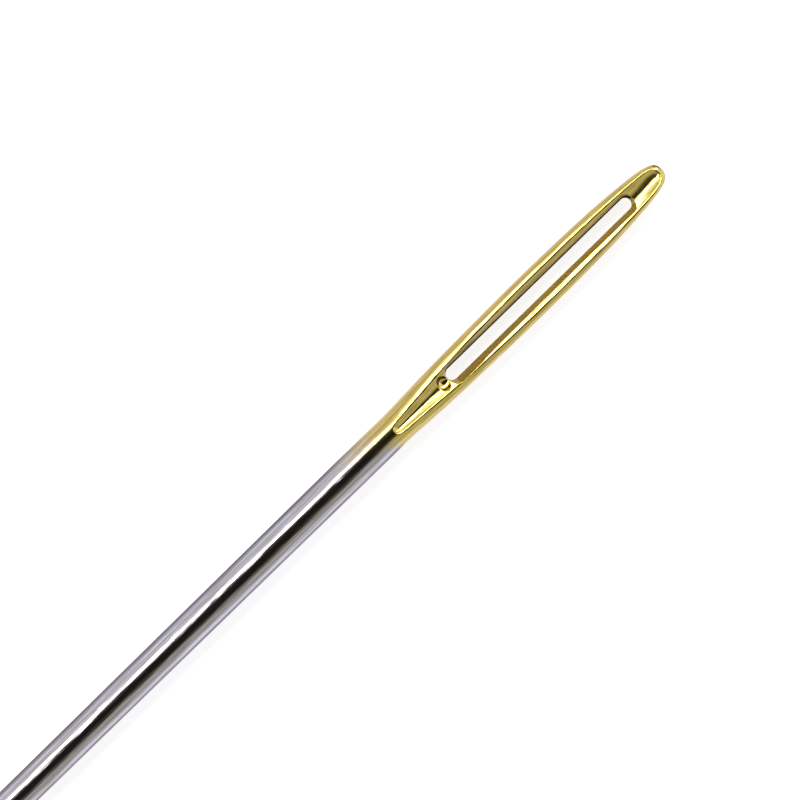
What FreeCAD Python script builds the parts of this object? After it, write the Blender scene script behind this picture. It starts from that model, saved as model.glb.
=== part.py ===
import FreeCAD, Part
import math
import os
from FreeCAD import Vector

# Hand sewing needle: one piece of drawn steel wire with a stamped head that holds a long eye.
# It lies along X with its head towards +X, and the eye runs through it along Z.
# The origin is under the middle of its length, on the surface that it lies on.

# Wire and point, in millimetres. The neck is the straight round stretch below the head.
needle_length = 48.0
wire_diameter = 1.27
neck_length = 2.0
taper_length = 22.0
taper_end_diameter = 1.13
point_tip_radius = 0.03

# Head: its length runs from the rounded tip to where the wire is round again
head_length = 13.4
head_width = 1.594
head_thickness = 0.86

# Gutter pressed into each face of the head: its two crests stand in from the head's sides
gutter_tip_gap = 0.2
gutter_neck_gap = 0.02
crest_inset = 0.262
crest_radius = 0.08
gutter_wall_angle = 38.0
eye_gutter_wall_angle = 22.0

# Eye: its width is that of its waist, and it flares towards both faces
eye_width = 0.43
eye_tip_gap = 1.59
eye_neck_gap = 2.72
eye_flare_angle = 27.0
eye_neck_flare = 0.06
eye_waist_radius = 0.14

# Ball-shaped dimple beside the neck end of the eye, on both faces
dimple_radius = 0.3
dimple_depth = 0.1
dimple_offset = 0.25

# Worked-out values
wire_radius = wire_diameter / 2
axis_height = wire_radius
tip_x = needle_length / 2
point_x = -needle_length / 2
neck_x = tip_x - head_length
gutter_half_width = head_width / 2 - crest_inset
eye_tip_x = tip_x - eye_tip_gap
eye_neck_x = neck_x + eye_neck_gap
dimple_x = eye_neck_x - dimple_offset
edge_tolerance = 1e-3

# Corner weights: how far each quarter of a section bulges out towards its corner. The gutter's
# section bulges little, so its walls are nearly straight and meet in a narrow valley.
ellipse_weight = math.sqrt(0.5)
square_weight = 1.43
valley_weight = 0.25
# Where the gutter's section meets the face, as a share of its half width and half height
crest_share = (1 + 2 * valley_weight) / (2 + 2 * valley_weight)
# Corners of a section that a seam can start at, counted from the +Y side over the top
side_seam = 0
top_seam = 2
bottom_seam = 6

# Nose stations from the tip: place along the head, width and thickness as shares of the
# head's own, and how square the section is (0 is an ellipse, 1 the squarest section).
nose_stations = [
    (0.0, 0.0, 0.0, 0.4),
    (0.0, 0.27, 0.40, 0.4),
    (0.01, 0.44, 0.66, 0.4),
    (0.037, 0.662, 0.93, 0.6),
    (0.09, 0.764, 1.0, 0.8),
    (0.18, 0.901, 1.01, 1.0),
    (0.30, 0.972, 1.0, 1.0),
    (0.42, 1.0, 1.0, 1.0),
    (0.54, 1.001, 1.0, 1.0),
    (0.66, 0.965, 1.02, 1.0),
]
# Shoulder stations down to the neck: here the shares lead from the round wire (0) to the head (1)
shoulder_stations = [
    (0.776, 0.71, 0.78, 0.8),
    (0.866, 0.45, 0.51, 0.5),
    (0.933, 0.19, 0.24, 0.2),
    (0.978, 0.0, 0.0, 0.0),
    (1.0, 0.0, 0.0, 0.0),
]
# Gutter stations: place along the gutter, its width as a share of the greatest width, and
# how far its wall angle has gone from that of the closed ends (0) to that beside the eye (1)
gutter_stations = [
    (0.0, 0.0, 0.0),
    (0.0, 0.30, 0.0),
    (0.01, 0.55, 0.0),
    (0.045, 0.74, 0.0),
    (0.11, 0.84, 0.6),
    (0.20, 0.95, 1.0),
    (0.32, 1.0, 1.0),
    (0.46, 1.01, 1.0),
    (0.60, 0.95, 1.0),
    (0.72, 0.87, 0.9),
    (0.83, 0.68, 0.3),
    (0.92, 0.48, 0.0),
    (0.975, 0.42, 0.0),
    (1.0, 0.30, 0.0),
    (1.0, 0.0, 0.0),
]


def blend(start, end, share):
    return start + (end - start) * share


# A solid with oval cross-sections, from stations of x, half width, half height, middle height
# and corner weight. An end station with no width closes it with a dome. The surface starts and
# ends on a seam, at one of the eight corners round the section.
def oval_solid(stations, seam):
    corners = [(1, 0), (1, 1), (0, 1), (-1, 1), (-1, 0), (-1, -1), (0, -1), (1, -1)]
    corners = corners[seam:] + corners[:seam + 1]
    poles = []
    weights = []
    for x, half_width, half_height, middle, weight in stations:
        poles.append([Vector(x, y * half_width, middle + z * half_height) for y, z in corners])
        weights.append([weight if y * z else 1.0 for y, z in corners])
    degree = 3
    spans = len(stations) - degree
    surface = Part.BSplineSurface()
    surface.buildFromPolesMultsKnots(
        poles,
        [degree + 1] + [1] * (spans - 1) + [degree + 1],
        [3, 2, 2, 2, 3],
        list(range(spans + 1)),
        [0, 1, 2, 3, 4],
        False,
        False,
        degree,
        2,
        weights,
    )
    faces = [surface.toShape()]
    if stations[-1][1] > 0:
        end_section = surface.uIso(spans).toShape()
        cap = Part.Face(Part.Wire(end_section))
        cap.reverse()
        faces.append(cap)
    return Part.Solid(Part.Shell(faces))


def head_sections():
    sections = []
    for place, width, thickness, squareness in nose_stations:
        half_width = width * head_width / 2
        half_thickness = thickness * head_thickness / 2
        sections.append((tip_x - place * head_length, half_width, half_thickness, squareness))
    for place, width, thickness, squareness in shoulder_stations:
        half_width = blend(wire_radius, head_width / 2, width)
        half_thickness = blend(wire_radius, head_thickness / 2, thickness)
        sections.append((tip_x - place * head_length, half_width, half_thickness, squareness))
    return [(x, w, t, blend(ellipse_weight, square_weight, s)) for x, w, t, s in sections]


# Height of the uncut head's surface above its middle plane, at a place along and across it
def surface_height(x, y):
    sections = head_sections()
    for first, second in zip(sections, sections[1:]):
        if second[0] <= x <= first[0] and first[0] > second[0]:
            share = (first[0] - x) / (first[0] - second[0])
            half_width, half_thickness, weight = (
                blend(first[i], second[i], share) for i in (1, 2, 3)
            )
    # Each quarter of a section is a conic: t runs along it from the top to the side
    across = min(y / half_width, 1.0)
    square_term = (1 - 2 * weight) - across * (2 - 2 * weight)
    linear_term = 2 * weight - across * (2 * weight - 2)
    root = math.sqrt(linear_term**2 + 4 * square_term * across)
    t = 2 * across / (linear_term + root)
    top = (1 - t) ** 2 + 2 * weight * t * (1 - t)
    return half_thickness * top / (top + t * t)


def make_head():
    stations = [(x, w, t, axis_height, weight) for x, w, t, weight in head_sections()]
    return oval_solid(stations, side_seam)


# Round neck, slow taper and pointed end, as one turned profile
def make_wire():
    taper_x = neck_x - neck_length
    ogive_x = taper_x - taper_length
    taper_end_radius = taper_end_diameter / 2
    slope = (wire_radius - taper_end_radius) / taper_length
    handle_length = (ogive_x - point_x) / 2
    neck = Vector(neck_x, wire_radius, 0)
    taper = Vector(taper_x, wire_radius, 0)
    ogive = Vector(ogive_x, taper_end_radius, 0)
    handle = Vector(ogive_x - handle_length, taper_end_radius - slope * handle_length, 0)
    tip_edge = Vector(point_x + point_tip_radius, point_tip_radius, 0)
    tip_middle = Vector(
        point_x + point_tip_radius * (1 - ellipse_weight), point_tip_radius * ellipse_weight, 0
    )
    ogive_curve = Part.BezierCurve()
    ogive_curve.setPoles([ogive, handle, tip_edge])
    profile = Part.Wire([
        Part.makeLine(Vector(neck_x, 0, 0), neck),
        Part.makeLine(neck, taper),
        Part.makeLine(taper, ogive),
        ogive_curve.toShape(),
        Part.Arc(tip_edge, tip_middle, Vector(point_x, 0, 0)).toShape(),
        Part.makeLine(Vector(point_x, 0, 0), Vector(neck_x, 0, 0)),
    ])
    wire = Part.Face(profile).revolve(Vector(), Vector(1, 0, 0), 360)
    wire.translate(Vector(0, 0, axis_height))
    return wire


def gutter_sections():
    start_x = tip_x - gutter_tip_gap
    length = head_length - gutter_tip_gap - gutter_neck_gap
    sections = []
    for place, width, beside_eye in gutter_stations:
        wall = blend(gutter_wall_angle, eye_gutter_wall_angle, beside_eye)
        sections.append((start_x - place * length, width * gutter_half_width, math.radians(wall)))
    return sections


# The tool for one gutter: a long spindle that sinks into the face up to its crest lines,
# which it meets half way round each quarter of its section. Its seam runs down the valley.
def make_gutter_tool(side):
    stations = []
    seam = bottom_seam if side > 0 else top_seam
    for x, half_width, wall in gutter_sections():
        spindle_half_width = half_width / crest_share
        spindle_half_height = spindle_half_width * math.tan(wall)
        middle = surface_height(x, half_width) + spindle_half_height * crest_share
        height = axis_height + side * middle
        stations.append((x, spindle_half_width, spindle_half_height, height, valley_weight))
    return oval_solid(stations, seam)


# Height of the gutter's floor above the head's middle plane
def floor_height(x):
    for first, second in zip(gutter_sections(), gutter_sections()[1:]):
        if second[0] <= x <= first[0] and first[0] > second[0]:
            share = (first[0] - x) / (first[0] - second[0])
            half_width = blend(first[1], second[1], share)
            wall = blend(first[2], second[2], share)
            sagitta = half_width * math.tan(wall) * (1 / crest_share - 1)
            return surface_height(x, half_width) - sagitta
    return surface_height(x, 0)


def slot_outline(half_width, slot_tip_x, slot_neck_x, z):
    tip_centre = slot_tip_x - half_width
    neck_centre = slot_neck_x + half_width
    tip_left = Vector(tip_centre, half_width, z)
    tip_right = Vector(tip_centre, -half_width, z)
    neck_left = Vector(neck_centre, half_width, z)
    neck_right = Vector(neck_centre, -half_width, z)
    return Part.Wire([
        Part.makeLine(neck_left, tip_left),
        Part.Arc(tip_left, Vector(slot_tip_x, 0, z), tip_right).toShape(),
        Part.makeLine(tip_right, neck_right),
        Part.Arc(neck_right, Vector(slot_neck_x, 0, z), neck_left).toShape(),
    ])


# The tool for one half of the eye, which widens from its waist to a face of the head
def make_eye_tool(side):
    depth = head_thickness
    flare = depth * math.tan(math.radians(eye_flare_angle))
    neck_flare = depth * eye_neck_flare / floor_height(eye_neck_x)
    waist = slot_outline(eye_width / 2, eye_tip_x, eye_neck_x, axis_height)
    mouth = slot_outline(
        eye_width / 2 + flare,
        eye_tip_x + flare,
        eye_neck_x - neck_flare,
        axis_height + side * depth,
    )
    return Part.makeLoft([waist, mouth], True, True)


def make_dimple_tool(side):
    height = floor_height(dimple_x) - dimple_depth + dimple_radius
    return Part.makeSphere(dimple_radius, Vector(dimple_x, 0, axis_height + side * height))


# The crests are the long edges that rise and fall with the face and swing out to its side.
# The head's seam is as long but stays in the middle plane, and a valley runs straight.
def is_crest(edge):
    box = edge.BoundBox
    curved = box.ZLength > edge_tolerance and box.YLength > edge_tolerance
    return not edge.Degenerated and curved and box.XLength > head_length / 2


# The waist's edges lie in the middle plane, between the two ends of the eye
def is_waist(edge):
    box = edge.BoundBox
    inside = box.XMin > eye_neck_x - edge_tolerance and box.XMax < eye_tip_x + edge_tolerance
    flat = box.ZLength < edge_tolerance and abs(box.ZMin - axis_height) < edge_tolerance
    return inside and flat


def make_needle():
    head = make_head()
    for side in (1, -1):
        head = head.cut(make_gutter_tool(side))
    head = head.makeFillet(crest_radius, [e for e in head.Edges if is_crest(e)])
    for side in (1, -1):
        head = head.cut(make_eye_tool(side))
    head = head.makeFillet(eye_waist_radius, [e for e in head.Edges if is_waist(e)])
    for side in (1, -1):
        head = head.cut(make_dimple_tool(side))
    return head.fuse(make_wire())


os.makedirs("parts", exist_ok=True)
needle = make_needle()
print("solids", len(needle.Solids), "valid", needle.isValid())
needle.exportStep("parts/needle.step")
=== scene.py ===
import math

import bmesh
import bpy
import numpy as np
from mathutils import Matrix, Vector


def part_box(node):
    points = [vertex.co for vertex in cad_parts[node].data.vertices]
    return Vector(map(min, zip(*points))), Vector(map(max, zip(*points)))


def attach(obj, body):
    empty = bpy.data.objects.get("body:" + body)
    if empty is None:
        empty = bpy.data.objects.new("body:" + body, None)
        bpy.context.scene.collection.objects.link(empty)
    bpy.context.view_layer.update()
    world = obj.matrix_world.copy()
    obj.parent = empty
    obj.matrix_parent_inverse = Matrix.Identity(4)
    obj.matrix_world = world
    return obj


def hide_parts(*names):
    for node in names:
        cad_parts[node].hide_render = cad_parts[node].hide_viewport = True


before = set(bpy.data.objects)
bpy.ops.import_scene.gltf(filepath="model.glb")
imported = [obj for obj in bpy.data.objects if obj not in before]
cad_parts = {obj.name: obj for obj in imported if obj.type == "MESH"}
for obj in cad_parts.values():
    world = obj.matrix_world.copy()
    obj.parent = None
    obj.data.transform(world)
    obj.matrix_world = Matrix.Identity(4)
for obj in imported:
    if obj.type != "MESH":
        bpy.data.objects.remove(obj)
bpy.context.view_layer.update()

# Hand sewing needle: one polished steel wire with a gilt head, two gutters and a long eye.
# It lies along X on the floor with its head towards +X. Sizes are in metres.

mm = 0.001

# Wire and point
wire_diameter = 1.27 * mm
neck_length = 2.0 * mm
taper_length = 22.0 * mm
taper_end_diameter = 1.13 * mm
point_tip_radius = 0.03 * mm

# Head, and the gutter in each of its faces
head_length = 13.4 * mm
head_width = 1.594 * mm
head_thickness = 0.86 * mm
gutter_tip_gap = 0.2 * mm
gutter_neck_gap = 0.02 * mm
crest_inset = 0.262 * mm
crest_radius = 0.08 * mm
gutter_wall_angle = math.radians(38.0)
eye_gutter_wall_angle = math.radians(22.0)

# Eye and dimple
eye_width = 0.43 * mm
eye_tip_gap = 1.59 * mm
eye_neck_gap = 2.72 * mm
eye_flare_angle = math.radians(27.0)
eye_neck_flare = 0.06 * mm
eye_waist_radius = 0.14 * mm
dimple_radius = 0.3 * mm
dimple_depth = 0.1 * mm
dimple_offset = 0.25 * mm

# Worked-out places
low_corner, high_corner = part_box("needle")
tip_x = high_corner.x
point_x = low_corner.x
wire_radius = wire_diameter / 2
axis_height = wire_radius
neck_x = tip_x - head_length
taper_x = neck_x - neck_length
ogive_x = taper_x - taper_length
gutter_half_width = head_width / 2 - crest_inset
eye_tip_x = tip_x - eye_tip_gap
eye_neck_x = neck_x + eye_neck_gap
dimple_x = eye_neck_x - dimple_offset
ellipse_weight = math.sqrt(0.5)
square_weight = 1.43
valley_weight = 0.25
# Where the gutter's section meets the face, as a share of its half width and half height
crest_share = (1 + 2 * valley_weight) / (2 + 2 * valley_weight)

# Nose stations: place along the head, shares of its width and thickness, and squareness
nose_stations = [
    (0.0, 0.0, 0.0, 0.4),
    (0.0, 0.27, 0.40, 0.4),
    (0.01, 0.44, 0.66, 0.4),
    (0.037, 0.662, 0.93, 0.6),
    (0.09, 0.764, 1.0, 0.8),
    (0.18, 0.901, 1.01, 1.0),
    (0.30, 0.972, 1.0, 1.0),
    (0.42, 1.0, 1.0, 1.0),
    (0.54, 1.001, 1.0, 1.0),
    (0.66, 0.965, 1.02, 1.0),
]
# Shoulder stations: here the shares lead from the round wire (0) to the head (1)
shoulder_stations = [
    (0.776, 0.71, 0.78, 0.8),
    (0.866, 0.45, 0.51, 0.5),
    (0.933, 0.19, 0.24, 0.2),
    (0.978, 0.0, 0.0, 0.0),
    (1.0, 0.0, 0.0, 0.0),
]
# Gutter stations: place along the gutter, share of its width, and share of the eye's wall angle
gutter_stations = [
    (0.0, 0.0, 0.0),
    (0.0, 0.30, 0.0),
    (0.01, 0.55, 0.0),
    (0.045, 0.74, 0.0),
    (0.11, 0.84, 0.6),
    (0.20, 0.95, 1.0),
    (0.32, 1.0, 1.0),
    (0.46, 1.01, 1.0),
    (0.60, 0.95, 1.0),
    (0.72, 0.87, 0.9),
    (0.83, 0.68, 0.3),
    (0.92, 0.48, 0.0),
    (0.975, 0.42, 0.0),
    (1.0, 0.30, 0.0),
    (1.0, 0.0, 0.0),
]

# Mesh columns across a quarter of the section, from its middle to its side
wall_columns = 7
gutter_columns = 12
crest_columns = 6
flank_columns = 12
rim_bevel = 0.006 * mm
crest_band = 0.05 * mm
# The rim's columns keep a least place, and away from the eye they relax to a share of the crest's
least_rim = 0.05 * mm
relaxed_rim_share = 0.35
rim_relaxing_length = 0.8 * mm
# Limits of those places and widths, as shares of the half width
highest_rim_share = 0.45
lowest_crest_share = 0.5
widest_band_share = 0.1
widest_bevel_share = 0.02
# Past the neck the columns come to an even spread over this length
even_spread_length = 1.5 * mm
# Stations along the rounded end of the head, and along the round tip of the point
dome_length = 0.3 * mm
dome_stations = 22
point_tip_stations = 7
# Points closer than this are merged, and shorter edges are dissolved
merge_distance = 1e-8
shortest_edge = 1e-9

# Crest rounding: a step to measure slopes with, the limits of the turn between the slopes, the
# half width of gutter over which the rounding sets in, and its least reach
slope_step = 0.01 * mm
turn_limits = (0.2, 2.5)
crest_onset = 0.1 * mm
least_reach = 1e-9
bisection_steps = 40


def blend(start, end, share):
    return start + (end - start) * share


def smooth_step(share):
    share = np.clip(share, 0.0, 1.0)
    return share * share * (3 - 2 * share)


# Points on a cubic spline that starts and ends on its first and last controls
def spline_rows(controls, count=3000):
    controls = np.array(controls, float)
    spans = len(controls) - 3
    knots = np.concatenate(([0] * 4, np.arange(1, spans), [spans] * 4)).astype(float)
    place = np.linspace(0, spans, count)
    span = np.minimum(place.astype(int), spans - 1)
    rows = [controls[span + j] for j in range(4)]
    for level in range(1, 4):
        for j in range(3, level - 1, -1):
            start = knots[span + j]
            end = knots[span + j + 4 - level]
            share = ((place - start) / (end - start))[:, None]
            rows[j] = rows[j - 1] * (1 - share) + rows[j] * share
    return rows[3]


# Where a function that rises with its variable passes zero, between two bounds
def bisect(function, start, end):
    for _ in range(bisection_steps):
        middle = (start + end) / 2
        above = function(middle) > 0
        end = np.where(above, middle, end)
        start = np.where(above, start, middle)
    return (start + end) / 2


# Height of an oval section at y: each quarter is a conic between its top and its side
def oval_top(y, half_width, half_height, weight):
    across = np.clip(y / np.maximum(half_width, 1e-12), 0.0, 1.0)
    square_term = (1 - 2 * weight) - across * (2 - 2 * weight)
    linear_term = 2 * weight - across * (2 * weight - 2)
    root = np.sqrt(np.maximum(linear_term**2 + 4 * square_term * across, 0.0))
    t = 2 * across / (linear_term + root)
    top = (1 - t) ** 2 + 2 * weight * t * (1 - t)
    return half_height * top / (top + t * t)


def head_controls():
    rows = []
    for place, width, thickness, squareness in nose_stations:
        half_width = width * head_width / 2
        half_thickness = thickness * head_thickness / 2
        weight = blend(ellipse_weight, square_weight, squareness)
        rows.append((tip_x - place * head_length, half_width, half_thickness, weight))
    for place, width, thickness, squareness in shoulder_stations:
        half_width = blend(wire_radius, head_width / 2, width)
        half_thickness = blend(wire_radius, head_thickness / 2, thickness)
        weight = blend(ellipse_weight, square_weight, squareness)
        rows.append((tip_x - place * head_length, half_width, half_thickness, weight))
    return np.array(rows)


def gutter_controls():
    control_x, *control_sizes = head_controls()[::-1].T
    length = head_length - gutter_tip_gap - gutter_neck_gap
    rows = []
    for place, width, beside_eye in gutter_stations:
        x = tip_x - gutter_tip_gap - place * length
        half_width = width * gutter_half_width
        wall = blend(gutter_wall_angle, eye_gutter_wall_angle, beside_eye)
        sizes = [np.interp(x, control_x, size) for size in control_sizes]
        spindle_half_width = half_width / crest_share
        spindle_half_height = spindle_half_width * math.tan(wall)
        crest_height = oval_top(half_width, *sizes)
        middle = crest_height + spindle_half_height * crest_share
        rows.append((x, spindle_half_width, spindle_half_height, middle))
    return rows


head_curve = spline_rows(head_controls())[::-1].T
gutter_curve = spline_rows(gutter_controls())[::-1].T


# Radius of the round wire: straight neck, slow taper, curved point and a tiny round tip
def wire_radius_at(x):
    slope = (wire_diameter - taper_end_diameter) / 2 / taper_length
    handle_length = (ogive_x - point_x) / 2
    t = np.linspace(0, 1, 400)
    handle_radius = taper_end_diameter / 2 - slope * handle_length
    start_share = (1 - t) ** 2
    handle_share = 2 * t * (1 - t)
    curve_x = start_share * ogive_x + handle_share * (ogive_x - handle_length)
    curve_x = curve_x + t * t * (point_x + point_tip_radius)
    curve_radius = start_share * taper_end_diameter / 2 + handle_share * handle_radius
    curve_radius = curve_radius + t * t * point_tip_radius
    radius = np.minimum(wire_radius, wire_radius - slope * (taper_x - x))
    radius = np.where(x < ogive_x, np.interp(x, curve_x[::-1], curve_radius[::-1]), radius)
    from_tip = np.clip(x - point_x, 0.0, point_tip_radius)
    tip_arc = np.sqrt(point_tip_radius**2 - (point_tip_radius - from_tip) ** 2)
    return np.where(x < point_x + point_tip_radius, tip_arc, radius)


# Half width, half thickness and corner weight of the uncut needle at x
def section_sizes(x):
    on_head = x > neck_x
    radius = wire_radius_at(x)
    half_width = np.where(on_head, np.interp(x, head_curve[0], head_curve[1]), radius)
    half_height = np.where(on_head, np.interp(x, head_curve[0], head_curve[2]), radius)
    weight = np.where(on_head, np.interp(x, head_curve[0], head_curve[3]), ellipse_weight)
    return half_width, half_height, weight


def uncut_height(x, y):
    return oval_top(y, *section_sizes(x))


def gutter_height(x, y):
    inside = (x > gutter_curve[0][0]) & (x < gutter_curve[0][-1])
    half_width, half_height, middle = (np.interp(x, gutter_curve[0], row) for row in gutter_curve[1:])
    depth = oval_top(y, half_width, half_height, valley_weight)
    return np.where(inside & (y < half_width), middle - depth, 1.0)


# Half width of the gutter, where it meets the uncut face
def crest_place(x):
    half_width = section_sizes(x)[0]

    def gutter_above_face(y):
        return gutter_height(x, y) - uncut_height(x, y)

    return bisect(gutter_above_face, np.zeros_like(x), half_width)


# Height of the face with its gutter, and with the crests between them rounded
def pressed_height(x, y):
    face = uncut_height(x, y)
    gutter = gutter_height(x, y)
    crest = crest_place(x)
    inner = np.maximum(crest - slope_step, 0.0)
    gutter_slope = (gutter_height(x, crest) - gutter_height(x, inner)) / slope_step
    face_slope = (uncut_height(x, crest + slope_step) - uncut_height(x, crest)) / slope_step
    turn = np.clip(gutter_slope - face_slope, *turn_limits)
    reach = crest_radius * turn**2 / 2 * smooth_step(crest / crest_onset)
    reach = np.maximum(reach, least_reach)
    closeness = np.clip(1 - np.abs(face - gutter) / reach, 0.0, 1.0)
    return np.minimum(face, gutter) - closeness**2 * reach / 4


# Half width of the eye at a height above its waist, with the waist's edge rounded
def eye_half_width(height):
    flared = eye_width / 2 + height * math.tan(eye_flare_angle)
    lift = eye_waist_radius * (1 / math.cos(eye_flare_angle) - 1)
    low_height = np.clip(height, 0.0, eye_waist_radius * math.sin(eye_flare_angle))
    arc = eye_waist_radius - np.sqrt(eye_waist_radius**2 - low_height**2)
    rounded = eye_width / 2 + lift + arc
    return np.where(height > eye_waist_radius * math.sin(eye_flare_angle), flared, rounded)


# How far a point lies outside the eye's outline at a height: less than zero is inside it
def outside_eye(x, y, height):
    neck_slope = eye_neck_flare / floor_at_neck
    tip_centre = eye_tip_x - eye_width / 2
    neck_centre = eye_neck_x + eye_width / 2
    neck_centre = neck_centre + height * (math.tan(eye_flare_angle) - neck_slope)
    nearest = np.clip(x, neck_centre, tip_centre)
    return np.hypot(x - nearest, y) - eye_half_width(height)


def eye_wall_height(x, y):
    def inside_eye(height):
        return -outside_eye(x, y, height)

    start = np.zeros_like(x + y)
    height = bisect(inside_eye, start, start + head_thickness)
    return np.where(outside_eye(x, y, start) < 0, 0.0, height)


def dimple_height(x, y):
    centre_height = floor_at_dimple - dimple_depth + dimple_radius
    sagitta = np.sqrt(np.clip(dimple_radius**2 - (x - dimple_x) ** 2 - y * y, 0.0, None))
    return np.where(sagitta > 0, centre_height - sagitta, 1.0)


def gutter_floor(x):
    place = np.array([x])
    return float(pressed_height(place, np.zeros(1))[0])


floor_at_neck = gutter_floor(eye_neck_x)
floor_at_dimple = gutter_floor(dimple_x)


def face_height(x, y):
    return np.minimum(pressed_height(x, y), dimple_height(x, y))


def top_height(x, y):
    return np.minimum(face_height(x, y), eye_wall_height(x, y))


# The eye's open half width in the middle plane, which is zero beyond its ends
def waist_place(x):
    radius = float(eye_half_width(np.zeros(1))[0])
    nearest = np.clip(x, eye_neck_x + eye_width / 2, eye_tip_x - eye_width / 2)
    return np.sqrt(np.clip(radius**2 - (x - nearest) ** 2, 0.0, None))


# The rim, where the eye's wall meets the gutter
def rim_place(x):
    def wall_above_face(y):
        return eye_wall_height(x, y) - face_height(x, y)

    return bisect(wall_above_face, waist_place(x), crest_place(x))


# Places along the needle, closest together at the tip, the ends of the eye and the dimple
def station_places():
    waist_radius = float(eye_half_width(np.zeros(1))[0])
    eye_tip_end = eye_tip_x - eye_width / 2 + waist_radius
    eye_neck_end = eye_neck_x + eye_width / 2 - waist_radius
    # Each stretch has its start, its end and the step between its stations
    stretches = [
        (tip_x - dome_length, tip_x - 0.9 * mm, 0.025 * mm),
        (tip_x - 0.9 * mm, eye_tip_end + 0.22 * mm, 0.03 * mm),
        (eye_tip_end + 0.22 * mm, eye_tip_end, 0.010 * mm),
        (eye_tip_end, eye_tip_end - 0.3 * mm, 0.012 * mm),
        (eye_tip_end - 0.3 * mm, eye_neck_end + 0.3 * mm, 0.06 * mm),
        (eye_neck_end + 0.3 * mm, eye_neck_end, 0.012 * mm),
        (eye_neck_end, eye_neck_end - 0.1 * mm, 0.008 * mm),
        (eye_neck_end - 0.1 * mm, dimple_x - 0.3 * mm, 0.016 * mm),
        (dimple_x - 0.3 * mm, neck_x + 0.6 * mm, 0.05 * mm),
        (neck_x + 0.6 * mm, neck_x - 0.1 * mm, 0.02 * mm),
        (neck_x - 0.1 * mm, neck_x - 2.0 * mm, 0.2 * mm),
        (neck_x - 2.0 * mm, ogive_x, 1.0 * mm),
        (ogive_x, point_x + 1.0 * mm, 0.5 * mm),
        (point_x + 1.0 * mm, point_x + point_tip_radius, 0.1 * mm),
    ]
    dome_turn = np.linspace(0, math.pi / 2, dome_stations)
    dome = tip_x - dome_length * (1 - np.cos(dome_turn))[:-1]
    tip_turn = np.linspace(0, math.pi / 2, point_tip_stations)
    tip_round = point_x + point_tip_radius * (1 - np.sin(tip_turn))
    places = [dome]
    for start, end, step in stretches:
        count = max(1, round((start - end) / step))
        places.append(np.linspace(start, end, count + 1)[:-1])
    places.append(tip_round)
    return np.concatenate(places)


# Places across a quarter of each section. On the plain shank they are evenly spread.
def column_places(x):
    half_width = section_sizes(x)[0]
    crest = crest_place(x)
    waist = waist_place(x)
    rim = rim_place(x)
    from_eye = np.maximum(x - eye_tip_x, eye_neck_x - x)
    relaxed = relaxed_rim_share * crest * smooth_step(from_eye / rim_relaxing_length)
    rim = np.maximum(np.maximum(rim, least_rim), relaxed)
    rim = np.minimum(rim, highest_rim_share * half_width)
    crest = np.maximum(crest, lowest_crest_share * half_width)
    band = np.minimum(crest_band, widest_band_share * half_width)
    bevel = np.minimum(rim_bevel, widest_bevel_share * half_width)
    on_wall = 1 - np.cos(np.linspace(0, math.pi / 2, wall_columns + 1))
    on_gutter = np.linspace(0, 1, gutter_columns + 1)[1:]
    on_crest = np.linspace(-1, 1, crest_columns + 1)[1:]
    on_flank = np.sin(np.linspace(0, math.pi / 2, flank_columns + 1))[1:]
    places = [
        blend(waist[:, None], (rim - bevel)[:, None], on_wall),
        rim[:, None],
        (rim + bevel)[:, None],
        blend((rim + bevel)[:, None], (crest - band)[:, None], on_gutter),
        crest[:, None] + band[:, None] * on_crest,
        blend((crest + band)[:, None], half_width[:, None], on_flank),
    ]
    shaped = np.concatenate(places, axis=1)
    turn = np.linspace(0, math.pi / 2, shaped.shape[1])
    even = half_width[:, None] * np.sin(turn)
    plain = smooth_step((neck_x - x) / even_spread_length)[:, None]
    return blend(shaped, even, plain)


# One closed mesh, from a quarter of the needle and its three mirror images
def needle_mesh():
    x = station_places()
    y = column_places(x)
    stretched_x = np.repeat(x[:, None], y.shape[1], axis=1)
    z = top_height(stretched_x, y)
    z[:, -1] = 0.0
    in_eye = waist_place(x) > 0
    z[in_eye, 0] = 0.0
    rows, columns = y.shape
    points = []
    faces = []
    for side in (1, -1):
        for face in (1, -1):
            first = len(points)
            quarter = np.stack([stretched_x, side * y, axis_height + face * z], axis=-1)
            points.extend(quarter.reshape(-1, 3).tolist())
            for i in range(rows - 1):
                for k in range(columns - 1):
                    start = first + i * columns + k
                    corners = [start, start + 1, start + columns + 1, start + columns]
                    faces.append(corners if side * face > 0 else corners[::-1])
    mesh = bpy.data.meshes.new("gilt_needle")
    mesh.from_pydata(points, [], faces)
    work = bmesh.new()
    work.from_mesh(mesh)
    bmesh.ops.remove_doubles(work, verts=work.verts, dist=merge_distance)
    bmesh.ops.dissolve_degenerate(work, edges=work.edges, dist=shortest_edge)
    bmesh.ops.recalc_face_normals(work, faces=work.faces)
    work.to_mesh(mesh)
    work.free()
    mesh.shade_smooth()
    return mesh


# Node helpers: each makes one node, sets its values and links its inputs
def add_node(tree, kind, settings=(), inputs=()):
    made = tree.nodes.new(kind)
    for name, value in dict(settings).items():
        setattr(made, name, value)
    for key, value in dict(inputs).items():
        if isinstance(value, bpy.types.NodeSocket):
            tree.links.new(value, made.inputs[key])
        else:
            made.inputs[key].default_value = value
    return made


def add_math(tree, operation, *values):
    return add_node(tree, "ShaderNodeMath", {"operation": operation}, enumerate(values)).outputs[0]


def add_range(tree, value, from_min, from_max, to_min=0.0, to_max=1.0):
    inputs = {"Value": value, "From Min": from_min, "From Max": from_max}
    inputs.update({"To Min": to_min, "To Max": to_max})
    settings = {"interpolation_type": "SMOOTHSTEP"}
    return add_node(tree, "ShaderNodeMapRange", settings, inputs).outputs["Result"]


def add_product(tree, first, *others):
    for other in others:
        first = add_math(tree, "MULTIPLY", first, other)
    return first


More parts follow.
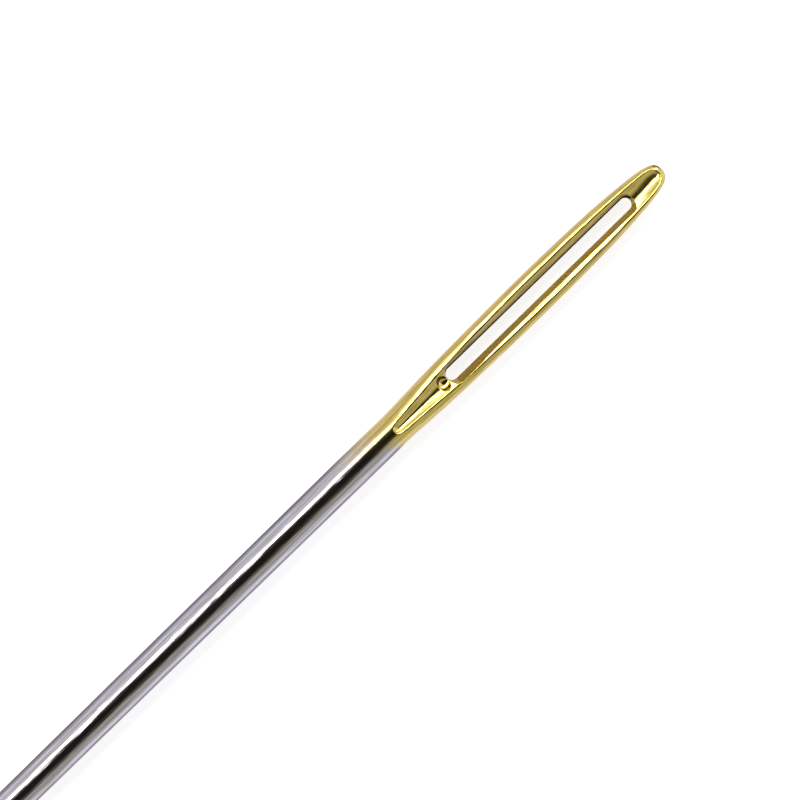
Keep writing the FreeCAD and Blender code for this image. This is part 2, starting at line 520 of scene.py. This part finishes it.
def add_colour_mix(tree, share, first, second, blend_type="MIX"):
    inputs = {0: share, 6: first, 7: second}
    settings = {"data_type": "RGBA", "blend_type": blend_type}
    return add_node(tree, "ShaderNodeMix", settings, inputs).outputs[2]


def add_diffuse_share(tree, share, shader, colour):
    diffuse = add_node(tree, "ShaderNodeBsdfDiffuse", {}, {"Color": colour})
    inputs = {0: share, 1: shader.outputs[0], 2: diffuse.outputs[0]}
    return add_node(tree, "ShaderNodeMixShader", {}, inputs)


def new_material(name):
    material = bpy.data.materials.new(name)
    material.use_nodes = True
    material.node_tree.nodes.clear()
    return material


def set_surface(tree, shader):
    add_node(tree, "ShaderNodeOutputMaterial", {}, {"Surface": shader.outputs[0]})


def add_noise(tree, vector, stretch, detail=2.0):
    mapped = add_node(tree, "ShaderNodeMapping", {}, {"Vector": vector, "Scale": stretch})
    inputs = {"Vector": mapped.outputs[0], "Scale": 1.0, "Detail": detail}
    return add_node(tree, "ShaderNodeTexNoise", {}, inputs).outputs[0]


# Base colours of steel and gold. The steel's slope colour is a painted reflection tint, and the side
# colours are painted shade for the steep sides.
steel_colour = (0.56, 0.515, 0.49, 1.0)
steel_slope_reflection_tint = (0.55, 0.54, 0.60, 1.0)
steel_side_painted_shade = (0.20, 0.195, 0.225, 1.0)
gold_colour = (0.79, 0.62, 0.125, 1.0)
gold_side_painted_shade = (0.42, 0.30, 0.055, 1.0)
# Painted shade for the eye's pierced walls, mixed in as a dark diffuse share
eye_wall_shade_colour = (0.32, 0.20, 0.04, 1.0)
steel_grazing_colour = (0.45, 0.44, 0.50, 1.0)
gold_grazing_colour = (0.95, 0.92, 0.75, 1.0)
line_colour = (0.80, 0.74, 0.69, 1.0)
line_colour_range = (0.4, 0.65)
# The steep sides are painted darker than the faces as painted shade, and the steel's middle slopes
# carry a painted lavender reflection tint. Each pair of limits is the upright share of the normal
# where a colour starts and where it is full.
steel_side_shade_range = (0.3, 0.78)
steel_slope_tint_range = (0.84, 0.95)
gold_side_shade_range = (0.58, 0.92)
# Places in the material are in millimetres, as the following ranges are. The pierced walls of the eye
# get a painted shade: a dark brown diffuse share where they are steep and near the middle of the
# head.
eye_wall_shade_range = (0.46, 0.38)
eye_wall_shade_steep_range = (0.7, 0.5)
eye_wall_shade_strength = 0.65
# The waist of the eye has a painted shade: a dark diffuse line on its +Y rail. The first range is its
# distance from the middle plane, at which the painted shade also darkens the deepest part of the
# gutter at the tip.
waist_shade_range = (0.23, 0.16)
waist_shade_inner_range = (0.0, 0.05)
waist_shade_outer_range = (0.36, 0.3)
waist_shade_colour = (0.055, 0.038, 0.008, 1.0)
# Both painted shades set in over this distance to each side of the eye's neck end
eye_shade_onset = 0.1
# The gilding ends at the neck on the -Y side, and fades out further down the +Y side
gilt_full_x = 10.75
gilt_end_x = 10.2
gilt_fade_stretch = 2.6
gilt_unevenness = 0.5
gilt_coat_roughness = 0.06
gilt_coat_ior = 1.6
# Noises: how often each repeats along, across and up in a millimetre, and its detail
patch_noise = ((0.9, 2.2, 2.2), 3.0)
line_noise = ((0.5, 15.0, 15.0), 4.0)
wave_noise = ((1.1, 5.0, 5.0), 1.0)
grain_noise = ((26.0, 60.0, 60.0), 3.0)
# Roughness that the lines and the grain add to the polish: range of the noise, and its result
polish_roughness = 0.045
line_roughness = (0.35, 0.75, 0.0, 0.05)
grain_roughness = (0.4, 0.8, 0.0, 0.03)
relief_depth = 0.009 * mm
line_relief = 0.6
grain_relief = 0.03


# Where the head is gilt: the edge of the gilding is uneven and slants across the wire
def gilt_share(tree, along, across, patches):
    side_share = add_range(tree, across, -wire_radius / mm, wire_radius / mm)
    fade_end = add_math(tree, "MULTIPLY_ADD", side_share, -gilt_fade_stretch, gilt_end_x)
    uneven = add_math(tree, "MULTIPLY_ADD", patches, gilt_unevenness, -gilt_unevenness / 2)
    gilt_place = add_math(tree, "ADD", along, uneven)
    return add_range(tree, gilt_place, fade_end, gilt_full_x)


# Gold or steel, with painted shade on the steep sides and a painted reflection tint on the steel's
# middle slopes, and darker along the drawing lines
def metal_colour_and_shade(tree, gilt, upright, lines):
    gold_unshaded_share = add_range(tree, upright, *gold_side_shade_range)
    gold = add_colour_mix(tree, gold_unshaded_share, gold_side_painted_shade, gold_colour)
    steel_tint_share = add_range(tree, upright, *steel_side_shade_range)
    steel_unshaded_share = add_range(tree, upright, *steel_slope_tint_range)
    steel = add_colour_mix(tree, steel_tint_share, steel_side_painted_shade, steel_slope_reflection_tint)
    steel = add_colour_mix(tree, steel_unshaded_share, steel, steel_colour)
    clean = add_colour_mix(tree, gilt, steel, gold)
    line_share = add_range(tree, lines, *line_colour_range)
    return add_colour_mix(tree, line_share, clean, line_colour, "MULTIPLY")


def beyond_eye_neck(tree, along):
    neck = eye_neck_x / mm
    return add_range(tree, along, neck - eye_shade_onset, neck + eye_shade_onset)


# Share of painted shade on the eye's pierced walls: where they are steep, near the middle of the
# head, and past the eye's neck end
def eye_wall_shade_share(tree, along, across, upright):
    near_middle = add_range(tree, add_math(tree, "ABSOLUTE", across), *eye_wall_shade_range)
    steep = add_range(tree, upright, *eye_wall_shade_steep_range)
    beyond_neck = beyond_eye_neck(tree, along)
    return add_product(tree, near_middle, steep, beyond_neck, eye_wall_shade_strength)


# Share of the painted shade line at the eye's waist, on its +Y rail and past the eye's neck end
def waist_shade_share(tree, along, across, up):
    height = add_math(tree, "ABSOLUTE", add_math(tree, "SUBTRACT", up, axis_height / mm))
    at_waist = add_range(tree, height, *waist_shade_range)
    outside_middle = add_range(tree, across, *waist_shade_inner_range)
    inside_rail = add_range(tree, across, *waist_shade_outer_range)
    return add_product(tree, at_waist, outside_middle, inside_rail, beyond_eye_neck(tree, along))


def metal_roughness(tree, lines, grain):
    rough_lines = add_range(tree, lines, *line_roughness)
    rough_grain = add_range(tree, grain, *grain_roughness)
    return add_math(tree, "ADD", add_math(tree, "ADD", rough_lines, rough_grain), polish_roughness)


def metal_relief(tree, lines, waves, grain):
    line_height = add_math(tree, "MULTIPLY", lines, line_relief)
    grain_height = add_math(tree, "MULTIPLY", grain, grain_relief)
    fine_height = add_math(tree, "ADD", line_height, grain_height)
    relief = add_math(tree, "ADD", fine_height, waves)
    inputs = {"Height": relief, "Strength": 1.0, "Distance": relief_depth}
    return add_node(tree, "ShaderNodeBump", {}, inputs).outputs[0]


# Polished steel with a gilt head: drawing lines, small waves and a faded edge to the gilding, with
# painted shade on the steep sides, on the eye's pierced walls and along its waist
def plated_steel():
    material = new_material("plated_steel")
    tree = material.node_tree
    coordinates = add_node(tree, "ShaderNodeTexCoord").outputs
    scaled = {0: coordinates["Object"], "Scale": 1 / mm}
    place = add_node(tree, "ShaderNodeVectorMath", {"operation": "SCALE"}, scaled).outputs[0]
    along, across, up = add_node(tree, "ShaderNodeSeparateXYZ", {}, {0: place}).outputs
    facing = add_node(tree, "ShaderNodeSeparateXYZ", {}, {0: coordinates["Normal"]}).outputs
    upright = add_math(tree, "ABSOLUTE", facing[2])

    patches = add_noise(tree, place, *patch_noise)
    lines = add_noise(tree, place, *line_noise)
    waves = add_noise(tree, place, *wave_noise)
    grain = add_noise(tree, place, *grain_noise)

    gilt = gilt_share(tree, along, across, patches)
    relief = metal_relief(tree, lines, waves, grain)
    inputs = {
        "Base Color": metal_colour_and_shade(tree, gilt, upright, lines),
        "Metallic": 1.0,
        "Specular Tint": add_colour_mix(tree, gilt, steel_grazing_colour, gold_grazing_colour),
        "Roughness": metal_roughness(tree, lines, grain),
        "Coat Weight": gilt,
        "Coat Roughness": gilt_coat_roughness,
        "Coat IOR": gilt_coat_ior,
        "Normal": relief,
        "Coat Normal": relief,
    }
    metal = add_node(tree, "ShaderNodeBsdfPrincipled", {}, inputs)
    # Painted shade on the eye's pierced walls, then a painted shade line at its waist
    painted_wall_shade = eye_wall_shade_share(tree, along, across, upright)
    wall_shaded_metal = add_diffuse_share(tree, painted_wall_shade, metal, eye_wall_shade_colour)
    painted_waist_shade = waist_shade_share(tree, along, across, up)
    set_surface(tree, add_diffuse_share(tree, painted_waist_shade, wall_shaded_metal, waist_shade_colour))
    return material


def make_needle():
    needle = bpy.data.objects.new("gilt_needle", needle_mesh())
    bpy.context.scene.collection.objects.link(needle)
    needle.data.materials.append(plated_steel())
    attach(needle, "root")
    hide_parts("needle")


# Floor: white to the camera and in reflections, and still darker where the needle shades it
floor_size = 4.0
floor_colour = (0.42, 0.42, 0.42, 1.0)
floor_glow = 0.8


def floor_material():
    material = new_material("white_floor")
    tree = material.node_tree
    path = add_node(tree, "ShaderNodeLightPath").outputs
    seen = add_math(tree, "MAXIMUM", path["Is Camera Ray"], path["Is Glossy Ray"])
    seen = add_math(tree, "MAXIMUM", seen, path["Is Transmission Ray"])
    strength = add_math(tree, "MULTIPLY", seen, floor_glow)
    diffuse = add_node(tree, "ShaderNodeBsdfDiffuse", {}, {"Color": floor_colour})
    glow = add_node(tree, "ShaderNodeEmission", {}, {"Strength": strength})
    both = add_node(tree, "ShaderNodeAddShader", {}, {0: diffuse.outputs[0], 1: glow.outputs[0]})
    set_surface(tree, both)
    return material


def make_floor():
    half = floor_size / 2
    mesh = bpy.data.meshes.new("floor")
    corners = [(-half, -half, 0), (half, -half, 0), (half, half, 0), (-half, half, 0)]
    mesh.from_pydata(corners, [], [(0, 1, 2, 3)])
    floor = bpy.data.objects.new("floor", mesh)
    bpy.context.scene.collection.objects.link(floor)
    mesh.materials.append(floor_material())


# Light tent: a half tube over the needle. Its wall has a soft box on the +Y side, grey paper
# on both sides and a dark slot along the top. Angles are in degrees from the top, -Y is plus.
tent_radius = 0.3
tent_half_length = 0.9
tent_segments = 96
tent_levels = [
    (-90, 0.9),
    (-70, 0.85),
    (-58, 0.95),
    (-50, 1.4),
    (-45, 7.0),
    (-35, 7.0),
    (-30, 1.0),
    (-26, 0.2),
    (-20, 0.05),
    (-8, 0.018),
    (14, 0.018),
    (25, 0.08),
    (32, 0.22),
    (43, 0.52),
    (50, 0.66),
    (63, 0.45),
    (77, 0.72),
    (90, 0.95),
]
# The slot ends at this angle towards +X, where the tent brightens to a level over a stretch
slot_tip_angle = 22.0
slot_tip_level = 1.1
slot_fade_factor = 1.5
# The bands hang a little askew: over the head all of them lie this many degrees further to -Y
head_skew = 3.0
head_skew_range = (0.0, 0.03)


def tent_material():
    material = new_material("tent_paper")
    tree = material.node_tree
    coordinates = add_node(tree, "ShaderNodeTexCoord").outputs["Object"]
    axes = add_node(tree, "ShaderNodeSeparateXYZ", {}, {0: coordinates}).outputs
    away = add_math(tree, "MULTIPLY", axes[1], -1.0)
    angle = add_math(tree, "ARCTAN2", away, axes[2])
    share = add_math(tree, "MULTIPLY_ADD", angle, 1 / math.pi, 0.5)
    skew = add_range(tree, axes[0], *head_skew_range, 0.0, head_skew / 180)
    share = add_math(tree, "SUBTRACT", share, skew)
    ramp = add_node(tree, "ShaderNodeValToRGB", {}, {0: share})
    stops = ramp.color_ramp.elements
    highest = max(level for _, level in tent_levels)
    while len(stops) < len(tent_levels):
        stops.new(0.5)
    for stop, (degrees, level) in zip(stops, tent_levels):
        stop.position = 0.5 + degrees / 180
        stop.color = (level / highest,) * 3 + (1.0,)
    slot_end = tent_radius * math.tan(math.radians(slot_tip_angle))
    beyond_slot = add_range(tree, axes[0], slot_end, slot_end * slot_fade_factor)
    level = add_math(tree, "MULTIPLY", ramp.outputs[0], highest)
    bright = add_math(tree, "MAXIMUM", level, slot_tip_level)
    inputs = {0: beyond_slot, 2: level, 3: bright}
    lit = add_node(tree, "ShaderNodeMix", {"data_type": "FLOAT"}, inputs)
    glow = add_node(tree, "ShaderNodeEmission", {}, {"Strength": lit.outputs[0]})
    set_surface(tree, glow)
    return material


def make_tent():
    points = []
    for i in range(tent_segments + 1):
        angle = math.pi * (i / tent_segments - 0.5)
        y = -tent_radius * math.sin(angle)
        z = tent_radius * math.cos(angle)
        points.append((-tent_half_length, y, z))
        points.append((tent_half_length, y, z))
    faces = [(2 * i, 2 * i + 1, 2 * i + 3, 2 * i + 2) for i in range(tent_segments)]
    mesh = bpy.data.meshes.new("light_tent")
    mesh.from_pydata(points, [], faces)
    tent = bpy.data.objects.new("light_tent", mesh)
    bpy.context.scene.collection.objects.link(tent)
    mesh.materials.append(tent_material())
    tent.visible_camera = False


def make_world():
    world = bpy.data.worlds.new("white_room")
    world.use_nodes = True
    background = world.node_tree.nodes["Background"]
    background.inputs["Color"].default_value = (1.0, 1.0, 1.0, 1.0)
    background.inputs["Strength"].default_value = 1.0
    bpy.context.scene.world = world


# Camera: it stands over the middle of the picture, leaning a little towards +Y
picture_size = 800
tip_pixel = (661.2, 169.15)
pixels_per_metre = 27.95 / mm
needle_angle = math.radians(44.3)
camera_lean = math.radians(7.4)
camera_distance = 65 * mm


def make_camera():
    along = Vector((1, 0, 0))
    towards = Vector((0, math.sin(camera_lean), math.cos(camera_lean)))
    across = towards.cross(along)
    right = along * math.cos(needle_angle) - across * math.sin(needle_angle)
    up = along * math.sin(needle_angle) + across * math.cos(needle_angle)
    aim = Vector((tip_x, 0, axis_height))
    aim += right * (picture_size / 2 - tip_pixel[0]) / pixels_per_metre
    aim += up * (tip_pixel[1] - picture_size / 2) / pixels_per_metre
    data = bpy.data.cameras.new("camera")
    data.sensor_width = 36.0
    data.lens = data.sensor_width * camera_distance * pixels_per_metre / picture_size
    data.clip_start = 0.001
    data.clip_end = 20.0
    camera = bpy.data.objects.new("camera", data)
    camera.matrix_world = Matrix.Translation(aim + towards * camera_distance) @ Matrix(
        (right, up, towards)
    ).transposed().to_4x4()
    bpy.context.scene.collection.objects.link(camera)
    bpy.context.scene.camera = camera


make_needle()
make_floor()
make_tent()
make_world()
make_camera()
bpy.context.scene.view_settings.view_transform = "Standard"
